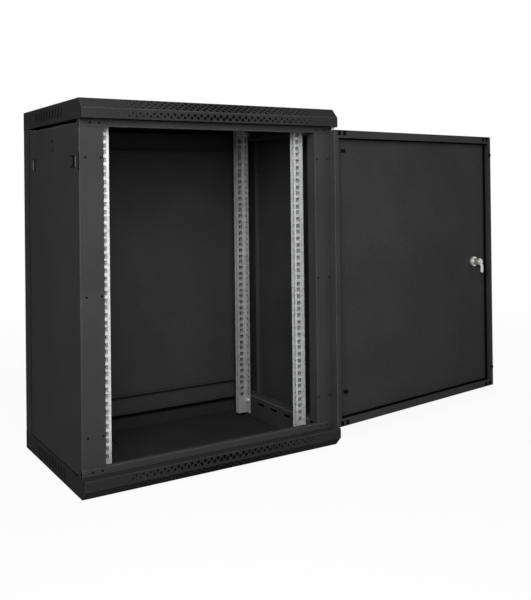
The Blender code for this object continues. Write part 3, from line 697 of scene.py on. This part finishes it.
for side, sign in SIDES:
    for level, up in (("lower", 1), ("upper", -1)):
        node = "%s_%s_beam" % (side, level)
        low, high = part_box(node)
        base = low.z if up > 0 else high.z
        far = outer_x(node, sign)
        hole_place = (outer_x(node, -sign), (low.y + high.y) / 2, base + up * BEAM_HOLE_UP)
        dots = grown("beam_punches", punch_rows, columns=BEAM_HOLE_COLUMNS, pitch=BEAM_HOLE_PITCH,
                     depth=HOLE_DEPTH, turn=FACING_SIDE, finish=coat, centre=hole_place,
                     **even(BEAM_HOLE), **SINGLE_ROW)
        dress(softened(node + "_channel", node, coat, bend=BEAM_BEND, punches=dots),
              "cabinet", "powder_coat", node)
        sheets = [((far - sign * FRAME_SHEET, far), (low.y, end),
                   (base + up * FRAME_SHEET, base + up * height))
                  for height, end in ((LIP_HEIGHT, high.y), (SEAL_HEIGHT, SEAL_END))]
        dress(blocks(node + "_lip", sheets, coat), "cabinet", "powder_coat")

# The rails are angles of zinc-plated steel with a square hole at every third of a rack unit, a small
# round one at every unit beside them, and a row of punched holes down the web.
RACK_UNIT = 44.45 * MM
RACK_UNITS = 15
HOLE_STEP = 15.875 * MM
SMALL_HOLE = 3.4 * MM
SMALL_HOLE_X = 0.2425
SQUARE_HOLE = 9.5 * MM
SQUARE_HOLE_X = 0.23255
BACK_FLANGE = 12 * MM
RAIL_SHEET = 1.8 * MM
WEB_HOLE = 7.0 * MM
WEB_HOLE_FROM_FACE = 21 * MM
ZINC_COLOUR = (0.56, 0.565, 0.57)
ZINC_SHADE = (0.30, 0.303, 0.306)
ZINC_METAL = 0.55
ZINC_SHINE = 0.2
ZINC_ROUGH = (0.36, 0.52)
DRAWING_LINES = (1800.0, 1800.0, 14.0)
LINE_NOISE = (0.25, 0.75)
# The rear rails and the hinge pins take a darker copy of the zinc, which is painted shade.
PAINTED_SHADE_ZINC_COLOUR = (0.34, 0.343, 0.346)
PAINTED_SHADE_ZINC_SPANGLE = (0.18, 0.182, 0.184)


def zinc_plate(name, bright=ZINC_COLOUR, shade=ZINC_SHADE, metal=ZINC_METAL):
    """Bright zinc plating: small cloudy spangles and fine drawing lines along the rail."""
    plating, tree = new_finish(name)
    at = own_place(tree)
    drawn = fit_node(tree, "ShaderNodeMapping", {"Vector": at, "Scale": DRAWING_LINES})
    lines = noise(tree, drawn.outputs[0], scale=1.0, detail=2.0)
    spangle = fit_node(tree, "ShaderNodeTexVoronoi", {"Vector": at, "Scale": 160.0})
    facet = fit_node(tree, "ShaderNodeSeparateColor", {0: spangle.outputs["Color"]})
    mixed = sums(tree, "MULTIPLY", facet.outputs[0], noise(tree, at, scale=38.0, detail=5.0))
    skin(tree, blend(tree, mixed, bright, shade), mapped(tree, lines, LINE_NOISE, ZINC_ROUGH),
         bump(tree, lines, strength=0.12, depth=0.05 * MM),
         {"Metallic": metal, "Specular IOR Level": ZINC_SHINE})
    return plating


zinc = zinc_plate("zinc_plating")
painted_shade_zinc = zinc_plate("dulled_zinc_plating", PAINTED_SHADE_ZINC_COLOUR, PAINTED_SHADE_ZINC_SPANGLE)
for end, inward, finish in (("front", 1, zinc), ("rear", -1, painted_shade_zinc)):
    for side, sign in SIDES:
        node = "%s_%s_rail" % (end, side)
        low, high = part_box(node)
        middle = (low.z + high.z) / 2
        face = low.y if inward > 0 else high.y
        web = outer_x(node, sign)
        per_unit = dict(rows=RACK_UNITS, row_gap=RACK_UNIT, columns=1, pitch=0.0, depth=HOLE_DEPTH,
                        finish=finish)
        heights = [middle + step * HOLE_STEP for step in (-1, 0, 1)]
        holes = [grown("flange_punches", punch_rows, middle_diameter=SMALL_HOLE, turn=FACING_FRONT,
                       centre=(sign * SMALL_HOLE_X, face, middle), **per_unit)]
        holes += [grown("web_punches", punch_rows, middle_diameter=WEB_HOLE, turn=FACING_SIDE,
                        centre=(web, face + inward * WEB_HOLE_FROM_FACE, z), **per_unit)
                  for z in heights]
        dress(softened(node + "_angle", node, finish, punches=joined("rail_punches", holes)),
              "cabinet", "zinc", node)
        behind = (face + inward * BACK_FLANGE, face + inward * (BACK_FLANGE + RAIL_SHEET))
        across = (outer_x(node, -sign), web - sign * RAIL_SHEET)
        back = blocks(node + "_back", [(across, behind, (low.z, high.z))], finish)
        squares = [grown("square_punches", punch_rows, sides=4, twist=math.pi / 4, turn=FACING_FRONT,
                         middle_diameter=SQUARE_HOLE * math.sqrt(2),
                         centre=(sign * SQUARE_HOLE_X, min(behind), z), **per_unit) for z in heights]
        dress(punched(back, joined("back_punches", squares)), "cabinet", "zinc")

# Eight hexagon bolts, each with its nut, clamp the rails' webs to the beams. They are plated steel, and
# their heads stand inside the cabinet at the foot and the head of every rail.
BOLT_BEND = 0.6 * MM

for end in ("front", "rear"):
    for side, sign in SIDES:
        for level in ("lower", "upper"):
            node = "%s_%s_%s_bolt" % (end, side, level)
            dress(softened(node + "_steel", node, zinc, bend=BOLT_BEND), "cabinet", "zinc", node)

# The side panels are shallow pans of the coated sheet that lift off. The hole for a lock near the top of
# each is filled by a round blank, which hangs in it by small tabs and has a near-black flange behind;
# its groove round the blank is a painted shade ring.
PANEL_BEND = 2.6 * MM
PANEL_SHEET = 1.5 * MM
CAP_DISC = 8.9 * MM
DISC_STEPS = 64
CAP_SUNK = 0.3 * MM
CAP_BURR = 0.2 * MM
CAP_TABS = 3
CAP_TAB = (2.4 * MM, 3.0 * MM)
CAP_TAB_LAP = 0.2 * MM
CAP_TAB_TURN = math.radians(50)
CAP_GROOVE = (12.0 * MM, 0.4 * MM)
CAP_FLANGE = 15 * MM
FLANGE_THINNER = 0.3 * MM
FLANGE_BURR = 0.3 * MM


def turned_disc(shape, centre, sign, radius, near, far):
    """A flat round disc on a sideways axis, between two distances from the middle of the cabinet."""
    place = Matrix.Translation((sign * (near + far) / 2, centre.y, centre.z))
    bmesh.ops.create_cone(shape, cap_ends=True, segments=DISC_STEPS, radius1=radius, radius2=radius,
                          depth=far - near, matrix=place @ Matrix.Rotation(math.pi / 2, 4, "Y"))


def break_edges(shape, size):
    """Takes the sharpness off every hard edge."""
    hard = [edge for edge in shape.edges if edge.calc_face_angle(0) > SHARP_ANGLE]
    bmesh.ops.bevel(shape, geom=hard, offset=size, segments=BURR_STEPS, profile=0.5, affect="EDGES",
                    offset_type="OFFSET")


def side_cap(name, node, sign):
    """The blank with its tabs, and the near-black flange behind the sheet, a painted shade ring round
    the blank.
    """
    low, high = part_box(node)
    centre = (low + high) / 2
    face = max(abs(low.x), abs(high.x)) - CAP_SUNK
    back = min(abs(low.x), abs(high.x))
    blank = bmesh.new()
    turned_disc(blank, centre, sign, CAP_DISC, back + PANEL_SHEET / 2, face)
    place = Matrix.Translation((sign * (face - PANEL_SHEET / 2), centre.y, centre.z))
    reach = Matrix.Translation((0, CAP_DISC + CAP_TAB[1] / 2 - CAP_TAB_LAP, 0))
    size = Matrix.Diagonal((PANEL_SHEET, CAP_TAB[1] + 2 * CAP_TAB_LAP, CAP_TAB[0], 1))
    for i in range(CAP_TABS):
        turn = Matrix.Rotation(CAP_TAB_TURN + math.tau * i / CAP_TABS, 4, "X")
        bmesh.ops.create_cube(blank, size=1, matrix=place @ turn @ reach @ size)
    break_edges(blank, CAP_BURR)
    flange = bmesh.new()
    turned_disc(flange, centre, sign, CAP_FLANGE, back, back + PANEL_SHEET - FLANGE_THINNER)
    turned_disc(flange, centre, sign, CAP_GROOVE[0], back + PANEL_SHEET / 2, face - CAP_GROOVE[1])
    break_edges(flange, FLANGE_BURR)
    return made_up(name, blank, coat), made_up(name + "_backing", flange, painted_shade_black)


for side, sign in SIDES:
    panel = side + "_side_panel"
    dress(softened(panel + "_pan", panel, coat, bend=PANEL_BEND), side + "_panel", "powder_coat", panel)
    cap = side + "_side_cap"
    disc, backing = side_cap(cap + "_disc", cap, sign)
    dress(disc, side + "_panel", "powder_coat", cap)
    dress(backing, side + "_panel", "black_plastic")

# A slide latch is a moulded plastic plate behind each window of the panel: a studded finger tab at one
# end, a recess beside it whose near-black floor is painted shade, and a plated bar. It slides outwards
# to hold the panel in the frame.
LATCH_PLATE = 2.0 * MM
LATCH_TAIL = 5 * MM
LATCH_TAB = (12 * MM, 20 * MM)
LATCH_TAB_PLAY = 0.3 * MM
LATCH_WINDOW = 38 * MM
LATCH_FROM_EDGE = 34 * MM
LATCH_ROOT = 1 * MM
LATCH_BURR = 0.4 * MM
LATCH_BAR = (4.5 * MM, 23 * MM, 2.0 * MM)
LATCH_BAR_IN = 4.5 * MM
LATCH_BAR_ROOT = 0.5 * MM
LATCH_BAR_BURR = 0.5 * MM
LATCH_BAR_COLOUR = (0.10, 0.10, 0.10)
LATCH_BAR_SHADE = (0.06, 0.06, 0.06)
LATCH_BAR_METAL = 0.2
WELL_FLOOR = 1.4 * MM
WELL_INSET = 1 * MM
WELL_BURR = 0.2 * MM
STUD = 1.9 * MM
STUD_GRID = (4, 2)
STUD_GAP = 4.2 * MM
STUD_PROUD = 0.5 * MM
PLASTIC_COLOUR = (0.020, 0.020, 0.021)

plastic = moulded("black_plastic", PLASTIC_COLOUR, roughness=0.45, grain_size=0.5 * MM)
dull_zinc = zinc_plate("dull_zinc", LATCH_BAR_COLOUR, LATCH_BAR_SHADE, LATCH_BAR_METAL)


def latch_parts(node, sign, inward, panel_edge):
    """The blocks of the slide, its recess and its bar, and its studs, from the CAD latch's own box."""
    low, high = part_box(node)
    inner = min(abs(low.x), abs(high.x))
    plate = inner + LATCH_PLATE
    top = max(abs(low.x), abs(high.x))
    centre = panel_edge + inward * LATCH_FROM_EDGE
    tab_end = centre + inward * (LATCH_WINDOW / 2 - LATCH_TAB_PLAY)
    tab_start = tab_end - inward * LATCH_TAB[0]
    tip, tail = (low.y, high.y) if inward > 0 else (high.y, low.y)
    bar_start = centre - inward * (LATCH_WINDOW / 2 - LATCH_BAR_IN)
    bar_end = bar_start + inward * LATCH_BAR[0]
    middle = (low.z + high.z) / 2
    half_tab = LATCH_TAB[1] / 2
    half_bar = LATCH_BAR[1] / 2
    slide = [((sign * inner, sign * plate), (tip, tail + inward * LATCH_TAIL), (low.z, high.z)),
             ((sign * (plate - LATCH_ROOT), sign * top), (tab_start, tab_end),
              (middle - half_tab, middle + half_tab))]
    # The recess floor is near-black as painted shade, and the near-black studs stand for their own
    # painted shadows.
    recess_shade = [((sign * (plate - LATCH_ROOT), sign * (plate + WELL_FLOOR)), (bar_end, tab_start),
             (low.z + WELL_INSET, high.z - WELL_INSET))]
    bar = [((sign * (plate - LATCH_BAR_ROOT), sign * (plate + LATCH_BAR[2])), (bar_start, bar_end),
            (middle - half_bar, middle + half_bar))]
    stud_place = (sign * top, (tab_start + tab_end) / 2 - STUD_GAP / 2, middle)
    studs = grown("tab_studs", punch_rows, rows=STUD_GRID[0], columns=STUD_GRID[1], pitch=2 * STUD_GAP,
                  row_gap=STUD_GAP, depth=2 * STUD_PROUD, turn=FACING_SIDE, finish=painted_shade_black,
                  centre=stud_place, **even(STUD))
    return slide, recess_shade, bar, studs


for side, sign in SIDES:
    low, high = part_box(side + "_side_panel")
    for end, inward, edge in (("front", 1, low.y), ("rear", -1, high.y)):
        node = "%s_%s_latch" % (side, end)
        slider = "%s_%s_slider" % (side, end)
        slide, recess_shade, bar, studs = latch_parts(node, sign, inward, edge)
        dress(blocks(node + "_slide", slide, plastic, LATCH_BURR), slider, "black_plastic", node)
        recess = blocks("latch_recess", recess_shade, painted_shade_black, WELL_BURR)
        dress(joined(node + "_well", [recess, studs]), slider, "black_plastic")
        dress(blocks(node + "_bar", bar, dull_zinc, LATCH_BAR_BURR), slider, "zinc")

# Two hinge plates of coated sheet carry the door at its right-hand corners. A turned and plated pin
# stands in each one and reaches into the door's lip.
HINGE_BEND = 0.4 * MM

# The pins take the darker copy of the zinc, which is painted shade.
for level in ("bottom", "top"):
    for node, finish, slot in ((level + "_hinge_plate", coat, "powder_coat"),
                               (level + "_hinge_pin", painted_shade_zinc, "zinc")):
        dress(softened(node + "_steel", node, finish, bend=HINGE_BEND), "cabinet", slot, node)

# The door is a shallow tray of the same coated sheet, with return lips all round. Square slots at the
# ends of its lips hold sunk near-black blocks, which are painted shade, small holes stand beside the
# hinge, and strips of near-black foam under three of the lips are a painted shade band. Its sizes are
# for the shut door.
DOOR_OPEN = math.radians(188)
DOOR_LIP_BACK = -0.185
DOOR_HALF = 0.298
DOOR_SIDE_LIP = 13 * MM
DOOR_END_LIP = 18 * MM
SLOT_SIZE = 10.8 * MM
SLOT_FROM_SIDE = (16 * MM, 32.5 * MM)
SLOT_FROM_END = 7 * MM
SLOT_SHADE_SUNK = 0.4 * MM
SLOT_SHADE_THICK = 2 * MM
SLOT_SHADE_BURR = 0.6 * MM
LIP_HOLE = 2.8 * MM
LIP_HOLE_FROM_SIDE = 10.8 * MM
LIP_HOLES_FROM_END = (22 * MM, 33 * MM)
LIP_SHADE_WIDTH = 5.5 * MM
LIP_SHADE_PROUD_SIDE = 1.0 * MM
LIP_SHADE_PROUD_BOTTOM = 0.8 * MM
LIP_SHADE_PROUD_TOP = 2.5 * MM
LIP_SHADE_Y = (-0.2013, -0.1988)
LIP_SHADE_STOP = 15 * MM
LIP_SHADE_BURR = 0.4 * MM

low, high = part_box("top_hinge_pin")
hinge = Vector(((low.x + high.x) / 2, (low.y + high.y) / 2, 0.0))
door_turn = Matrix.Translation(hinge) @ Matrix.Rotation(DOOR_OPEN, 4, "Z") @ Matrix.Translation(-hinge)


def opened(piece):
    """A piece made on the shut door, swung out with it."""
    piece.data.transform(door_turn)
    return piece


low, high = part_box("door_shell")
half_slot = SLOT_SIZE / 2
# Sunk near-black blocks in the lip slots are painted shade, the dark inside each slot.
slot_shades = []
holes = []
for end, inward in ((low.z, 1), (high.z, -1)):
    z = end + inward * SLOT_FROM_END
    for side in (-1, 1):
        for step in SLOT_FROM_SIDE:
            x = side * (DOOR_HALF - step)
            slot_shades.append(((x - half_slot, x + half_slot),
                          (DOOR_LIP_BACK - SLOT_SHADE_THICK, DOOR_LIP_BACK - SLOT_SHADE_SUNK),
                          (z - half_slot, z + half_slot)))
    for step in LIP_HOLES_FROM_END:
        hole_place = (DOOR_HALF - LIP_HOLE_FROM_SIDE, DOOR_LIP_BACK, end + inward * step)
        holes.append(grown("lip_punches", punch_rows, columns=1, pitch=0.0, middle_diameter=LIP_HOLE,
                           depth=HOLE_DEPTH, turn=FACING_FRONT, finish=coat, centre=hole_place,
                           **SINGLE_ROW))
dress(softened("door_tray", "door_shell", coat, punches=opened(joined("door_punches", holes))),
      "door", "powder_coat", "door_shell")
dress(opened(blocks("door_slot_plugs", slot_shades, painted_shade_black, SLOT_SHADE_BURR)), "door", "black_plastic")

# Strips of near-black foam under the free, bottom and top lips are painted shade: the dark band beneath
# each lip.
free = -DOOR_HALF + DOOR_SIDE_LIP + LIP_SHADE_PROUD_SIDE
strips = [((free - LIP_SHADE_WIDTH, free), LIP_SHADE_Y,
           (low.z + DOOR_END_LIP - LIP_SHADE_WIDTH, high.z - DOOR_END_LIP + LIP_SHADE_WIDTH))]
for end, inward, proud in ((low.z, 1, LIP_SHADE_PROUD_BOTTOM), (high.z, -1, LIP_SHADE_PROUD_TOP)):
    edge = end + inward * (DOOR_END_LIP + proud)
    strips.append(((free, DOOR_HALF - LIP_SHADE_STOP), LIP_SHADE_Y, (edge - inward * LIP_SHADE_WIDTH, edge)))
dress(opened(blocks("door_gasket", strips, painted_shade_foam, LIP_SHADE_BURR)), "door", "rubber")

# Four moulded pieces of black rubber soften the door's closing. The two bumpers are pressed into its
# free lip, and the two low pads are glued to its sheet beside the hinges.
RUBBER_COLOUR = (0.0025, 0.0025, 0.0025)
RUBBER_BEND = 0.5 * MM
PAD_SHIFT = 9 * MM
PAD_HEIGHT = 0.62

rubber = moulded("black_rubber", RUBBER_COLOUR, roughness=0.75, grain_size=0.9 * MM)
for level in ("lower", "upper"):
    for node in (level + "_door_bumper", level + "_door_pad"):
        piece = softened(node + "_rubber", node, rubber, bend=RUBBER_BEND)
        if node.endswith("pad"):
            low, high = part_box(node)
            centre = (low + high) / 2
            moved = centre + door_turn.to_3x3() @ Vector((-PAD_SHIFT, 0, 0))
            piece.data.transform(Matrix.Translation(moved) @ Matrix.Diagonal((1, 1, PAD_HEIGHT, 1))
                                 @ Matrix.Translation(-centre))
        dress(piece, "door", "rubber", node)

# The cam lock is a nickel-plated barrel of cast zinc, pushed through the door and held by a nut. Its
# core turns inside it by a key from the front, and a small screw fixes the cam to the core.
NICKEL_COLOUR = (0.58, 0.57, 0.545)
NICKEL_DARKER = 0.8
NICKEL_METAL = 0.75
NICKEL_ROUGH = (0.24, 0.40)
LOCK_BEND = 0.5 * MM
KEYWAY = (1.0 * MM, 3.7 * MM, 3.0 * MM)
KEYWAY_FLOOR = 2.2 * MM
KEYWAY_BURR = 0.1 * MM
KEY_PUNCH_OUT = 1 * MM


def nickel_plate(name):
    """Nickel plating with faint turning marks."""
    plating, tree = new_finish(name)
    at = own_place(tree)
    marks = noise(tree, at, scale=900.0, detail=3.0)
    cloud = noise(tree, at, scale=90.0, detail=3.0)
    skin(tree, blend(tree, cloud, NICKEL_COLOUR, [NICKEL_DARKER * part for part in NICKEL_COLOUR]),
         mapped(tree, marks, NOISE_MIDDLE, NICKEL_ROUGH),
         bump(tree, marks, strength=0.08, depth=0.05 * MM), {"Metallic": NICKEL_METAL})
    return plating


nickel = nickel_plate("nickel_plating")
for node, body in (("lock_barrel", "door"), ("lock_nut", "door"), ("cam_screw", "lock")):
    dress(softened(node + "_nickel", node, nickel, bend=LOCK_BEND), body, "nickel", node)

shut = [door_turn.inverted() @ spot.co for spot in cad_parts["lock_core"].data.vertices]
key_face = min(spot.y for spot in shut)
key_x = (min(spot.x for spot in shut) + max(spot.x for spot in shut)) / 2
key_z = (min(spot.z for spot in shut) + max(spot.z for spot in shut)) / 2


def key_block(name, start, stop, finish):
    """A block as wide and high as the keyway, between two depths from the lock's face."""
    box = ((key_x - KEYWAY[0], key_x + KEYWAY[0]), (key_face + start, key_face + stop),
           (key_z - KEYWAY[1], key_z + KEYWAY[1]))
    return opened(blocks(name, [box], finish, KEYWAY_BURR))


core = softened("lock_core_nickel", "lock_core", nickel, bend=LOCK_BEND,
                punches=key_block("key_punch", -KEY_PUNCH_OUT, KEYWAY[2], nickel))
dress(core, "lock", "nickel", "lock_core")
# A near-black block at the foot of the keyway is painted shade.
dress(key_block("lock_keyway", KEYWAY_FLOOR, KEYWAY[2], painted_shade_black), "lock", "black_plastic")

# The cam is a stamped and cranked plate, nickel plated, that hangs from the core behind a washer. Each
# row of its outline gives the height, the middle, the half width and the crank, in millimetres from the
# lock's axis.
CAM_OUTLINE = ((6.4, 0.0, 1.6, 0.0), (5.8, 0.0, 3.3, 0.0), (4.4, 0.0, 5.0, 0.0), (2.2, 0.0, 6.2, 0.0),
               (0.0, 0.0, 6.5, 0.0), (-4.0, 0.4, 6.4, 0.0), (-7.0, 1.2, 6.0, 0.3), (-9.5, 2.6, 5.5, 1.8),
               (-12.0, 3.2, 5.2, 2.0), (-25.0, 3.2, 5.2, 2.0), (-27.0, 3.2, 4.7, 2.0),
               (-28.4, 3.2, 3.4, 2.0), (-29.0, 3.2, 1.5, 2.0))
CAM_THICK = 2.4 * MM
CAM_BURR = 0.25 * MM
WASHER = (7.3 * MM, 1.0 * MM)
WASHER_STEPS = 48

low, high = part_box("cam_screw")
axis_end = (low + high) / 2
outwards = (door_turn.to_3x3() @ Vector((0, 1, 0))).normalized()
sideways = (door_turn.to_3x3() @ Vector((-1, 0, 0))).normalized()
low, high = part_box("lock_cam")
cam_middle = ((low + high) / 2 - axis_end).dot(outwards)
shape = bmesh.new()
rings = []
for up, across, half, crank in CAM_OUTLINE:
    ring = []
    for step, depth in ((-half, -0.5), (half, -0.5), (half, 0.5), (-half, 0.5)):
        spot = axis_end + sideways * (across + step) * MM + Vector((0, 0, up * MM))
        ring.append(shape.verts.new(spot + outwards * (cam_middle + crank * MM + depth * CAM_THICK)))
    rings.append(ring)
for upper, lower in zip(rings, rings[1:]):
    for i in range(4):
        shape.faces.new((upper[i], upper[(i + 1) % 4], lower[(i + 1) % 4], lower[i]))
shape.faces.new(rings[0][::-1])
shape.faces.new(rings[-1])
turn = outwards.to_track_quat("Z", "Y").to_matrix().to_4x4()
place = Matrix.Translation(axis_end + outwards * (cam_middle + CAM_THICK / 2 + WASHER[1] / 2)) @ turn
bmesh.ops.create_cone(shape, cap_ends=True, segments=WASHER_STEPS, radius1=WASHER[0],
                      radius2=WASHER[0], depth=WASHER[1], matrix=place)
bmesh.ops.recalc_face_normals(shape, faces=shape.faces)
break_edges(shape, CAM_BURR)
dress(made_up("lock_cam_nickel", shape, nickel), "lock", "nickel", "lock_cam")
